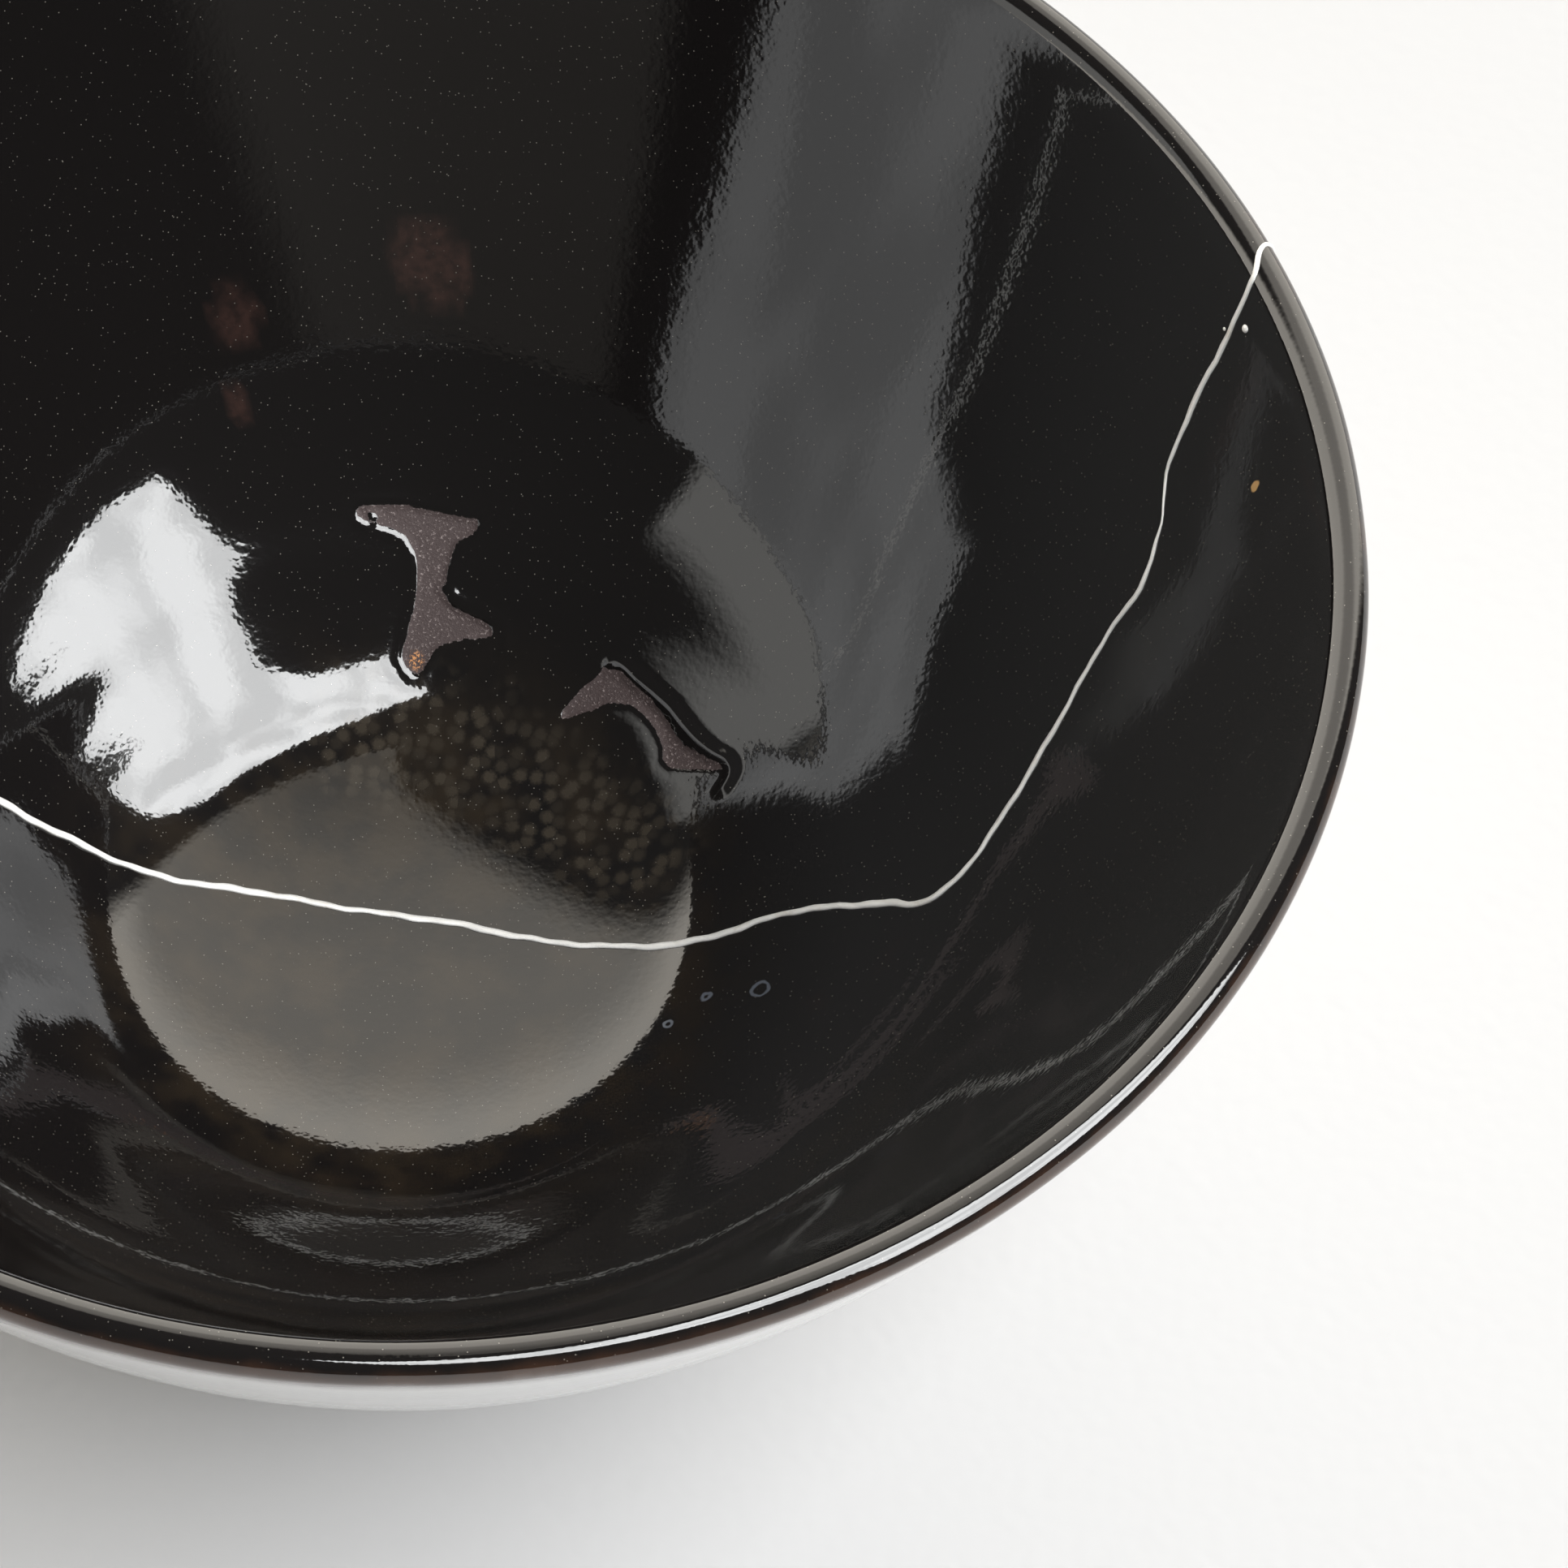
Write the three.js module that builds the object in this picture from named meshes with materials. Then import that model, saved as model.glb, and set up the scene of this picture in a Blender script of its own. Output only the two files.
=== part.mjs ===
// A deep thrown bowl with a foot ring, broken once and mended with a raised
// silver seam. Millimetres, +Z up, origin on the table under the foot ring.
import * as THREE from 'three';

// Bowl: size of the inside
const insideRadius = 71.9;      // centre line to the edge where the lip begins
const lipWall = 3.3;            // wall at the lip, which is fully rounded
const floorWall = 5.0;          // wall where it runs into the floor

// Slope of the inside in degrees from level, at a share of the inside radius: a dished
// floor, a quick turn into a straight cone, then a wall that steepens up to the lip.
const insideSlopes = [
  [0, 0], [0.15, 5], [0.3, 16], [0.38, 33.5], [0.46, 38], [0.55, 38.5], [0.7, 55], [0.85, 61.5], [1, 69],
];

// Foot ring: turned from the same clay
const recessHeight = 4.2;       // table up to the turned underside
const recessDome = 0.5;         // the underside rises a little more at its middle
const footOuterRadius = 28.6;
const footInnerRadius = 23.8;
const footEdge = 1.0;           // softened edges of the ring
const footTaper = 0.7;          // the ring is this much wider at its top
const footCoveTop = 7.4;        // height where the hollow curve under the wall begins
const wallEndRadius = 32.8;     // outside radius where the wall gives way to the hollow curve

// Fineness of the turned outline
const roundSteps = 64;
const insideSteps = 22;
const outsideSteps = 15;
const heightSteps = 720;        // steps that add the slopes up into heights
const lipSteps = 6;
const coveSteps = 4;

// Silver seam: a low bead along the mended break
const seamWidth = 0.7;
const seamHeight = 0.28;
const seamShoulder = 0.6;       // width of the flat top as a share of the whole
const seamClearance = 0.12;     // bead stands off the glaze
const seamStep = 2.2;           // spacing of its cross sections
const seamLipSteps = 7;
const seamFootRadius = 34.5;    // outside, the bead stops here, above the foot

// Seen from above, the break runs from the left edge to the right edge.
// Its two ends are given as angles, the rest as places in mm.
const breakStartAngle = 168.5;
const breakEndAngle = 26.1;
const breakPlaces = [
  [-63, 12.4], [-55, 9.6], [-47, 9.9], [-41, 7.4], [-35.3, 5.7], [-28.6, 5.5], [-20.9, 5.4],
  [-13, 5.8], [-5.2, 5.5], [3.7, 5.2], [12.6, 4], [22.2, 3.6], [28.6, 3.9], [32.7, 4.1],
  [36.9, 3.3], [41, 2.1], [44.2, 0.8], [47, 1.8], [50.1, 5.5], [53.4, 10.3], [56.6, 15],
  [58.9, 17], [60, 20.4], [60.1, 24.3], [61.6, 27.5], [63.5, 29.8],
];

const clayGlaze = new THREE.MeshStandardMaterial({ color: 0x1b1715, roughness: 0.08, metalness: 0 });
const silver = new THREE.MeshStandardMaterial({ color: 0xd8d3c8, roughness: 0.38, metalness: 0.9 });

// How fast the slope changes at one of the listed places, from its neighbours.
function slopeRate(index) {
  const [before, beforeSlope] = insideSlopes[Math.max(index - 1, 0)];
  const [after, afterSlope] = insideSlopes[Math.min(index + 1, insideSlopes.length - 1)];
  return (afterSlope - beforeSlope) / (after - before);
}

// Slope of the inside surface as an angle from level: a smooth curve through the list.
function insideSlope(radius) {
  const share = radius / insideRadius;
  let index = 0;
  while (index < insideSlopes.length - 2 && share > insideSlopes[index + 1][0]) index += 1;
  const [from, fromSlope] = insideSlopes[index];
  const [to, toSlope] = insideSlopes[index + 1];
  const span = to - from;
  const t = (share - from) / span;
  const ends = (2 * t ** 3 - 3 * t ** 2 + 1) * fromSlope + (3 * t ** 2 - 2 * t ** 3) * toSlope;
  const bends = (t ** 3 - 2 * t ** 2 + t) * slopeRate(index) + (t ** 3 - t ** 2) * slopeRate(index + 1);
  return THREE.MathUtils.degToRad(ends + span * bends);
}

// Heights of the inside surface at even steps from the centre line.
const heightStep = insideRadius / heightSteps;
const insideHeights = [recessHeight + floorWall];
for (let i = 0; i < heightSteps; i += 1) {
  insideHeights.push(insideHeights[i] + heightStep * Math.tan(insideSlope((i + 0.5) * heightStep)));
}

// Height of the inside surface at a distance from the centre line.
function insideHeight(radius) {
  const place = radius / heightStep;
  const below = Math.min(Math.floor(place), heightSteps - 1);
  return THREE.MathUtils.lerp(insideHeights[below], insideHeights[below + 1], place - below);
}

// Thickness of the wall, measured square to it.
function wallAt(radius) {
  const u = radius / insideRadius;
  return floorWall + (lipWall - floorWall) * u ** 2;
}

// Points of the section through the wall, as (distance from centre line, height).
function insidePoint(radius) {
  return new THREE.Vector2(radius, insideHeight(radius));
}

function outwardDirection(radius) {
  const slope = insideSlope(radius);
  return new THREE.Vector2(Math.sin(slope), -Math.cos(slope));
}

function outsidePoint(radius) {
  return insidePoint(radius).addScaledVector(outwardDirection(radius), wallAt(radius));
}

// The lip is a half round from the inside edge (turn 0) over to the outside (turn 1).
function lipDirection(turn) {
  const across = outwardDirection(insideRadius);
  const along = new THREE.Vector2(-across.y, across.x);
  const angle = Math.PI * (turn - 0.5);
  return along.multiplyScalar(Math.cos(angle)).addScaledVector(across, Math.sin(angle));
}

function lipPoint(turn) {
  const middle = insidePoint(insideRadius).addScaledVector(outwardDirection(insideRadius), lipWall / 2);
  return middle.addScaledVector(lipDirection(turn), lipWall / 2);
}

// Inside radius whose outside point lies at a given distance from the centre line.
function insideRadiusUnder(outsideRadius) {
  let low = 0;
  let high = insideRadius;
  for (let pass = 0; pass < 40; pass += 1) {
    const middle = (low + high) / 2;
    if (outsidePoint(middle).x < outsideRadius) low = middle;
    else high = middle;
  }
  return high;
}

// The turned section, worked out from the floor over the lip to the underside,
// and handed on from the underside round to the floor.
function bowlOutline() {
  const outline = [];
  for (let i = 0; i <= insideSteps; i += 1) {
    outline.push(insidePoint(insideRadius * i / insideSteps));
  }
  for (let i = 1; i <= lipSteps; i += 1) outline.push(lipPoint(i / lipSteps));

  const wallEnd = insideRadiusUnder(wallEndRadius);
  for (let i = 1; i <= outsideSteps; i += 1) {
    outline.push(outsidePoint(insideRadius + (wallEnd - insideRadius) * i / outsideSteps));
  }

  const coveStart = outline[outline.length - 1];
  const coveEnd = new THREE.Vector2(footOuterRadius + footTaper, footCoveTop);
  const across = outwardDirection(wallEnd);
  const cornerDrop = (coveStart.x - coveEnd.x) * across.x / -across.y;
  const coveCorner = new THREE.Vector2(coveEnd.x, coveStart.y - cornerDrop);
  const cove = new THREE.QuadraticBezierCurve(coveStart, coveCorner, coveEnd);
  outline.push(...cove.getPoints(coveSteps).slice(1));

  outline.push(
    new THREE.Vector2(footOuterRadius + footTaper * footEdge / footCoveTop, footEdge),
    new THREE.Vector2(footOuterRadius - 0.3 * footEdge, 0.3 * footEdge),
    new THREE.Vector2(footOuterRadius - footEdge, 0),
    new THREE.Vector2(footInnerRadius + footEdge, 0),
    new THREE.Vector2(footInnerRadius + 0.3 * footEdge, 0.3 * footEdge),
    new THREE.Vector2(footInnerRadius, footEdge),
    new THREE.Vector2(footInnerRadius - 0.3 * footEdge, recessHeight - footEdge),
    new THREE.Vector2(footInnerRadius - footEdge, recessHeight - 0.3 * footEdge),
    new THREE.Vector2(footInnerRadius - 2 * footEdge, recessHeight),
    new THREE.Vector2(footInnerRadius / 2, recessHeight + 0.75 * recessDome),
    new THREE.Vector2(0, recessHeight + recessDome),
  );
  return outline.reverse();
}

function makeBowl() {
  const geometry = new THREE.LatheGeometry(bowlOutline(), roundSteps);
  geometry.rotateX(Math.PI / 2);
  const mesh = new THREE.Mesh(geometry, clayGlaze);
  mesh.name = 'bowl';
  return mesh;
}

// A place on the wall: where it is, which way its surface faces.
function station(sectionPoint, sectionFacing, angle) {
  const outward = new THREE.Vector3(Math.cos(angle), Math.sin(angle), 0);
  const place = outward.clone().multiplyScalar(sectionPoint.x).setZ(sectionPoint.y);
  const facing = outward.multiplyScalar(sectionFacing.x).setZ(sectionFacing.y).normalize();
  return { place, facing };
}

function insideStation(radius, angle) {
  return station(insidePoint(radius), outwardDirection(radius).negate(), angle);
}

function outsideStation(radius, angle) {
  return station(outsidePoint(radius), outwardDirection(radius), angle);
}

function lipStations(angle) {
  const stations = [];
  for (let i = 1; i < seamLipSteps; i += 1) {
    const turn = i / seamLipSteps;
    stations.push(station(lipPoint(turn), lipDirection(turn), angle));
  }
  return stations;
}

// The break as a list of (distance from centre line, angle), left edge to right edge.
function breakLine() {
  const rimPlace = (degrees) => {
    const angle = THREE.MathUtils.degToRad(degrees);
    return new THREE.Vector3(insideRadius * Math.cos(angle), insideRadius * Math.sin(angle), 0);
  };
  const places = breakPlaces.map(([x, y]) => new THREE.Vector3(x, y, 0));
  const curve = new THREE.CatmullRomCurve3([rimPlace(breakStartAngle), ...places, rimPlace(breakEndAngle)]);
  const count = Math.ceil(curve.getLength() / seamStep);
  return curve.getSpacedPoints(count).map((point) => ({
    radius: Math.min(Math.hypot(point.x, point.y), insideRadius),
    angle: Math.atan2(point.y, point.x),
  }));
}

function seamStations() {
  const line = breakLine();
  const onWall = ({ radius }) => radius >= seamFootRadius;
  const leftWall = line.slice(0, line.findIndex((spot) => !onWall(spot)));
  const rightWall = line.slice(line.length - [...line].reverse().findIndex((spot) => !onWall(spot)));
  const outside = ({ radius, angle }) => outsideStation(radius, angle);
  return [
    ...leftWall.map(outside).reverse(),
    ...lipStations(line[0].angle).reverse(),
    ...line.map(({ radius, angle }) => insideStation(radius, angle)),
    ...lipStations(line[line.length - 1].angle),
    ...rightWall.reverse().map(outside),
  ];
}

function makeSeam() {
  const stations = seamStations();
  const section = [
    [-0.5 * seamWidth, 0],
    [0.5 * seamWidth, 0],
    [0.5 * seamWidth * seamShoulder, 0.85 * seamHeight],
    [0, seamHeight],
    [-0.5 * seamWidth * seamShoulder, 0.85 * seamHeight],
  ];
  const sides = section.length;
  const positions = [];
  const faces = [];
  stations.forEach(({ place, facing }, i) => {
    const before = stations[Math.max(i - 1, 0)].place;
    const after = stations[Math.min(i + 1, stations.length - 1)].place;
    const along = after.clone().sub(before).normalize();
    const sideways = new THREE.Vector3().crossVectors(along, facing).normalize();
    section.forEach(([across, up]) => {
      const corner = place.clone().addScaledVector(sideways, across).addScaledVector(facing, seamClearance + up);
      positions.push(corner.x, corner.y, corner.z);
    });
  });
  for (let i = 0; i + 1 < stations.length; i += 1) {
    for (let k = 0; k < sides; k += 1) {
      const here = i * sides + k;
      const next = i * sides + (k + 1) % sides;
      faces.push(here, here + sides, next, next, here + sides, next + sides);
    }
  }
  const last = (stations.length - 1) * sides;
  for (let k = 1; k + 1 < sides; k += 1) {
    faces.push(0, k, k + 1);
    faces.push(last, last + k + 1, last + k);
  }
  const geometry = new THREE.BufferGeometry();
  geometry.setAttribute('position', new THREE.Float32BufferAttribute(positions, 3));
  geometry.setIndex(faces);
  geometry.computeVertexNormals();
  const mesh = new THREE.Mesh(geometry, silver);
  mesh.name = 'silver_seam';
  return mesh;
}

const group = new THREE.Group();
group.add(makeBowl(), makeSeam());

export default group;
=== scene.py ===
import math
import bpy
import numpy as np
from mathutils import Matrix, Vector


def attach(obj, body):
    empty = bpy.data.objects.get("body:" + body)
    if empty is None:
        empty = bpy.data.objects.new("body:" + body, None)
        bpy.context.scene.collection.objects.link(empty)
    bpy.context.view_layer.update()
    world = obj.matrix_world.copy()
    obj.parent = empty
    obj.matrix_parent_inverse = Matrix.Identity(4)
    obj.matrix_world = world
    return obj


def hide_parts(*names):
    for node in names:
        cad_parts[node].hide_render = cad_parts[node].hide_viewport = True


# Deep thrown bowl, black glaze inside, white glaze outside, broken once and mended with silver
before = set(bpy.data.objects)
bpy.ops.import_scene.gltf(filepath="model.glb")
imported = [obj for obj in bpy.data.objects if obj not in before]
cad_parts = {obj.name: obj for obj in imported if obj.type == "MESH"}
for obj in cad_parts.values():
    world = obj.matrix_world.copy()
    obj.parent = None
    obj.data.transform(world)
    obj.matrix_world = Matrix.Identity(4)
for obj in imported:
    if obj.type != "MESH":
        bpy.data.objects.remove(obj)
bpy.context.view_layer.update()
mm = 0.001  # all the values below are in millimetres
print("frame loaded,", len(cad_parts), "nodes")


# Camera, looking down over the right-hand part of the bowl
photoView = {
    "lens": 130.4,
    "sensor": 36.0,
    "elevation": 56.29,  # degrees above the table
    "roll": 6.0,
    "distance": 426.7,
    "target": (31.5, -21.3, 76.35),  # in the plane of the lip's inside edge
}


def makeCamera(view):
    tilt = math.radians(view["elevation"])
    roll = math.radians(view["roll"])
    forward = Vector((0, math.cos(tilt), -math.sin(tilt)))
    level = Vector((1, 0, 0))
    upright = level.cross(forward)
    right = level * math.cos(roll) + upright * math.sin(roll)
    up = upright * math.cos(roll) - level * math.sin(roll)
    data = bpy.data.cameras.new("photoCamera")
    data.lens = view["lens"]
    data.sensor_width = view["sensor"]
    camera = bpy.data.objects.new("photoCamera", data)
    placed = Matrix((right, up, -forward)).transposed().to_4x4()
    placed.translation = (Vector(view["target"]) - forward * view["distance"]) * mm
    camera.matrix_world = placed
    bpy.context.scene.collection.objects.link(camera)
    bpy.context.scene.camera = camera


makeCamera(photoView)
print("camera placed")


# Section through the wall, as turned: distance from the middle and height
bowlShape = {
    "insideRadius": 71.9,
    "insideSlopes": [  # share of the inside radius, degrees from level
        (0, 0), (0.15, 5), (0.3, 16), (0.38, 33.5), (0.46, 38),
        (0.55, 38.5), (0.7, 55), (0.85, 61.5), (1, 69),
    ],
    "lipWall": 3.3,
    "floorWall": 5.0,
    "recessHeight": 4.2,
    "recessDome": 0.5,
    "footOuter": 28.6,
    "footInner": 23.8,
    "footTaper": 0.7,
    "footRound": 1.1,
    "recessRound": 1.6,
    "recessLean": 0.4,  # the recess is this much narrower at its top
    "coveTop": 7.4,
    "wallEnd": 32.8,
    "firstRing": 0.6,
    "lastRing": 0.8,
    "ringSpacing": [(26.0, 1.3), (41.5, 0.25), (71.9, 1.05)],  # up to this distance, this apart
    "lipSteps": 14,
    "outsideSteps": 32,
    "outsideEase": 1.15,  # above 1, the rings are closer near the lip
    "coveSteps": 6,
    "fineFrom": 28.0,  # degrees, the stretch with the bare patches
    "fineTo": 108.0,
    "fineStep": 0.37,
    "coarseStep": 1.05,
    "patchBand": (24.0, 44.0, 3.0),  # distances that hold the bare patches, and the fade at each end
    "patchSide": 8.0,  # they lie farther than this towards the far side
    "insideRipple": (0.005, 6.5),  # height and spacing of the throwing marks
    "insideRippleFade": (10.0, 30.0),
    "upperRipple": (0.008, 2.3, 47.0),  # finer marks on the upper wall, and where they start
    "leftSwell": (0.115, 35.2, 2.2, 152.0, 26.0),  # height, distance, half width, degrees round, reach
    "outsideRipple": (0.022, 5.2),
    "outsideRippleFade": (2.0, 10.0),  # by distance from the lip
    "outsideWander": (0.05, 60.0),  # height and length of the soft unevenness outside
    "aboveCove": (9.0, 10.0, 20.0),  # heights between which the outside's marks fade in
}
insideRadius = bowlShape["insideRadius"]
listedShare = np.array([share for share, slope in bowlShape["insideSlopes"]], float)
listedSlope = np.array([slope for share, slope in bowlShape["insideSlopes"]], float)


# Smooth curve through the listed slopes, in radians
def insideSlope(radius):
    share = np.asarray(radius, float) / insideRadius
    rate = np.gradient(listedSlope)
    rate[1:-1] = (listedSlope[2:] - listedSlope[:-2]) / (listedShare[2:] - listedShare[:-2])
    rate[0] = (listedSlope[1] - listedSlope[0]) / (listedShare[1] - listedShare[0])
    rate[-1] = (listedSlope[-1] - listedSlope[-2]) / (listedShare[-1] - listedShare[-2])
    index = np.clip(np.searchsorted(listedShare, share, side="right") - 1, 0, len(listedShare) - 2)
    span = listedShare[index + 1] - listedShare[index]
    t = (share - listedShare[index]) / span
    ends = (2 * t**3 - 3 * t**2 + 1) * listedSlope[index] + (3 * t**2 - 2 * t**3) * listedSlope[index + 1]
    bends = (t**3 - 2 * t**2 + t) * rate[index] + (t**3 - t**2) * rate[index + 1]
    return np.radians(ends + span * bends)


fineRadius = np.linspace(0, insideRadius, 1441)
fineRise = np.tan(insideSlope((fineRadius[1:] + fineRadius[:-1]) / 2)) * np.diff(fineRadius)
floorHeight = bowlShape["recessHeight"] + bowlShape["floorWall"]
fineHeight = floorHeight + np.concatenate([[0], np.cumsum(fineRise)])


def insideHeight(radius):
    return np.interp(radius, fineRadius, fineHeight)


def outsidePoint(radius):
    slope = insideSlope(radius)
    floorWall = bowlShape["floorWall"]
    wall = floorWall + (bowlShape["lipWall"] - floorWall) * (radius / insideRadius) ** 2
    return radius + np.sin(slope) * wall, insideHeight(radius) - np.cos(slope) * wall


# Half round over the lip, turn 0 at its inside edge and 1 at its outside
def lipPoint(turn):
    slope = float(insideSlope(insideRadius))
    across = np.array([math.sin(slope), -math.cos(slope)])
    along = np.array([math.cos(slope), math.sin(slope)])
    half = bowlShape["lipWall"] / 2
    middle = np.array([insideRadius, float(insideHeight(insideRadius))]) + across * half
    angle = math.pi * (turn - 0.5)
    facing = along * math.cos(angle) + across * math.sin(angle)
    return middle + facing * half, facing


# Line through corners whose bends are rounded off
def roundedLine(corners, rounds, steps=6):
    line = [np.array(corners[0], float)]
    for before, corner, after, size in zip(corners, corners[1:], corners[2:], rounds):
        corner = np.array(corner, float)
        toBefore = np.array(before, float) - corner
        toAfter = np.array(after, float) - corner
        start = corner + toBefore / np.linalg.norm(toBefore) * size
        end = corner + toAfter / np.linalg.norm(toAfter) * size
        for i in range(steps + 1):
            t = i / steps
            line.append(start * (1 - t) ** 2 + corner * 2 * t * (1 - t) + end * t**2)
    line.append(np.array(corners[-1], float))
    return line


# The whole section from the middle of the floor over the lip to the middle underneath
def bowlSection(shape):
    radii = []
    place = shape["firstRing"]
    for limit, spacing in shape["ringSpacing"]:
        while place < limit - spacing / 2:
            radii.append(place)
            place += spacing
        place = limit
    radii.append(insideRadius)
    line = [np.array([radius, float(insideHeight(radius))]) for radius in radii]
    insideCount = len(line)
    line += [lipPoint(i / shape["lipSteps"])[0] for i in range(1, shape["lipSteps"] + 1)]
    lipEnd = len(line)

    low, high = 0.0, insideRadius
    for _ in range(40):
        middle = (low + high) / 2
        if outsidePoint(middle)[0] < shape["wallEnd"]:
            low = middle
        else:
            high = middle
    for i in range(1, shape["outsideSteps"] + 1):
        share = (i / shape["outsideSteps"]) ** shape["outsideEase"]
        line.append(np.array(outsidePoint(insideRadius + (high - insideRadius) * share), float))

    start = line[-1]
    end = np.array([shape["footOuter"] + shape["footTaper"], shape["coveTop"]])
    slope = float(insideSlope(high))
    corner = np.array([end[0], start[1] - (start[0] - end[0]) * math.tan(slope)])
    for i in range(1, shape["coveSteps"] + 1):
        t = i / shape["coveSteps"]
        line.append(start * (1 - t) ** 2 + corner * 2 * t * (1 - t) + end * t**2)

    underside = roundedLine(
        [
            line[-1],
            (shape["footOuter"], 0),
            (shape["footInner"], 0),
            (shape["footInner"] - shape["recessLean"], shape["recessHeight"]),
            (shape["lastRing"], shape["recessHeight"] + shape["recessDome"]),
        ],
        [shape["footRound"], shape["footRound"], shape["recessRound"]],
    )
    line += underside[1:]
    return np.array(line), insideCount, lipEnd


def smoothStep(value, low, high):
    t = np.clip((value - low) / (high - low), 0, 1)
    return t * t * (3 - 2 * t)


# Smooth closed or open curve through a few given places
def smoothPath(places, closed=False, steps=8):
    points = np.array(places, float)
    count = len(points)
    path = []
    for i in range(count if closed else count - 1):
        if closed:
            a, b, c, d = points[i - 1], points[i], points[(i + 1) % count], points[(i + 2) % count]
        else:
            a, b = points[max(i - 1, 0)], points[i]
            c, d = points[i + 1], points[min(i + 2, count - 1)]
        for k in range(steps):
            t = k / steps
            path.append(b + 0.5 * t * (c - a + t * (2 * a - 5 * b + 4 * c - d + t * (3 * (b - c) + d - a))))
    if not closed:
        path.append(points[-1])
    return np.array(path)


# Distance from places in plan to a path, and how far along the path that is
def pathDistance(x, y, path, closed=False):
    ends = np.roll(path, -1, axis=0) if closed else path[1:]
    starts = path if closed else path[:-1]
    nearest = np.full(x.shape, 1e9)
    along = np.zeros(x.shape)
    for i, (start, end) in enumerate(zip(starts, ends)):
        step = end - start
        t = np.clip(((x - start[0]) * step[0] + (y - start[1]) * step[1]) / max(step @ step, 1e-9), 0, 1)
        distance = np.hypot(x - start[0] - t * step[0], y - start[1] - t * step[1])
        closer = distance < nearest
        nearest = np.where(closer, distance, nearest)
        along = np.where(closer, (i + t) / len(starts), along)
    return nearest, along


# Signed distance to a closed outline, below zero inside it
def outlineDistance(x, y, path):
    distance, _ = pathDistance(x, y, path, closed=True)
    inside = np.zeros(x.shape, bool)
    for start, end in zip(path, np.roll(path, -1, axis=0)):
        crosses = (start[1] > y) != (end[1] > y)
        run = np.where(end[1] == start[1], 1e-9, end[1] - start[1])
        inside ^= crosses & (x < start[0] + (y - start[1]) / run * (end[0] - start[0]))
    return np.where(inside, -distance, distance)


# Two places in the inside where the glaze drew back from the clay as it melted, seen from above
bareClay = {
    "depth": 0.22,  # bare clay below the glaze
    "rollHeight": 0.03,  # the drawn-back glaze stands up in a roll along its edge
    "rollWidth": 0.45,
    "rollFade": 0.65,
    "grain": (0.035, 0.9),  # height and length of the roughness of the clay
    "edgeWander": (0.10, 2.6),
    "maskFade": (0.02, 0.38),  # distance outside the edge over which the clay's colour ends
    "outlines": [
        [
            (-8.3, 38.5), (-4.9, 39.1), (-2, 39), (0.6, 38.8), (1.9, 38.7), (1.3, 37.9), (0.3, 37.4),
            (-0.3, 36.1), (-0.4, 34.6), (-0.1, 32.9), (1.2, 32.3), (3.2, 31.7), (4.1, 31), (2.1, 30.7),
            (0.5, 30.4), (-0.8, 29.7), (-1.9, 27.9), (-3.2, 28.6), (-3.1, 30.1), (-2.6, 32.6),
            (-2.7, 34.9), (-3.2, 36.3), (-4.6, 37.6), (-7.9, 38),
        ],
        [
            (11.4, 25), (12.6, 26.5), (14, 27.5), (15.3, 28.6), (16.3, 27.7), (18.2, 26), (20.2, 23.9),
            (21.8, 21.7), (23.6, 20.4), (25.9, 19), (24, 19.4), (21.2, 20.2), (20.6, 21.9), (19.5, 23.7),
            (17.6, 25.3), (15.5, 25.8), (13.3, 25.3),
        ],
    ],
    "ridgeEnds": (0.12, 0.88, 0.35),  # shares of the length where it is full and where it drops, the drop
    "ridges": [  # thick rolls of glaze: path, height, half width
        ([(15.1, 28.6), (16.4, 28.3), (17.6, 27.3), (19.3, 26), (20.9, 24.6), (22.2, 23.1), (23.6, 21.6),
          (25.1, 20.3), (26.3, 19.4), (26.8, 18.3), (26.2, 17.1)], 0.30, 0.95),
        ([(-0.2, 33.9), (1.6, 33), (3.6, 32.5), (5.3, 31.5), (5.6, 30.2)], 0.07, 0.8),
        ([(-7.5, 38.2), (-7.1, 38.1)], 0.16, 0.6),
    ],
}


# Where tiny gold-brown crystals float in the glaze, the thin reddish places, the orange clay, and the
# right-hand wall that gets painted light
glazeMarks = {
    "crystalPath": [(-5.5, 22), (4.5, 20.5), (12.5, 16.5), (18.5, 13)],
    "crystalReach": 7.5,
    "thinPlaces": [  # place in plan, half sizes, turn in degrees
        (-4.1, 53.6, 4.4, 2.3, -8),
        (-20.4, 47.6, 2.6, 1.5, 30),
        (-19.8, 43.0, 1.3, 1.6, 10),
    ],
    "orangeAt": (-2.2, 28.6),
    "orangeReach": 0.85,
    "floorPool": (17.0, 34.0),  # the glaze lies thick up to the first distance and not past the second
    "rightWall": (0.97, -0.25, 60.0),  # direction in plan of the wall that is painted lighter for the light falling on it, and its distance
}


# Repeatable unevenness from a few waves
def wander(a, b, size, seed):
    total = np.zeros(np.broadcast(a, b).shape)
    for k in range(5):
        turn = seed * 1.7 + k * 2.4
        reach = size / (1 + 0.55 * k)
        phase = (a * math.cos(turn) + b * math.sin(turn)) * 2 * math.pi / reach + seed * 5.3 + k * 1.9
        total += np.sin(phase + 1.3 * np.sin(phase * 0.37 + k))
    return total / 5


def ringAngles(shape):
    fine = np.arange(shape["fineFrom"], shape["fineTo"], shape["fineStep"])
    rest = 360 - (shape["fineTo"] - shape["fineFrom"])
    count = int(round(rest / shape["coarseStep"]))
    coarse = shape["fineTo"] + rest * np.arange(count) / count
    return np.radians(np.concatenate([fine, coarse]))


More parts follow.
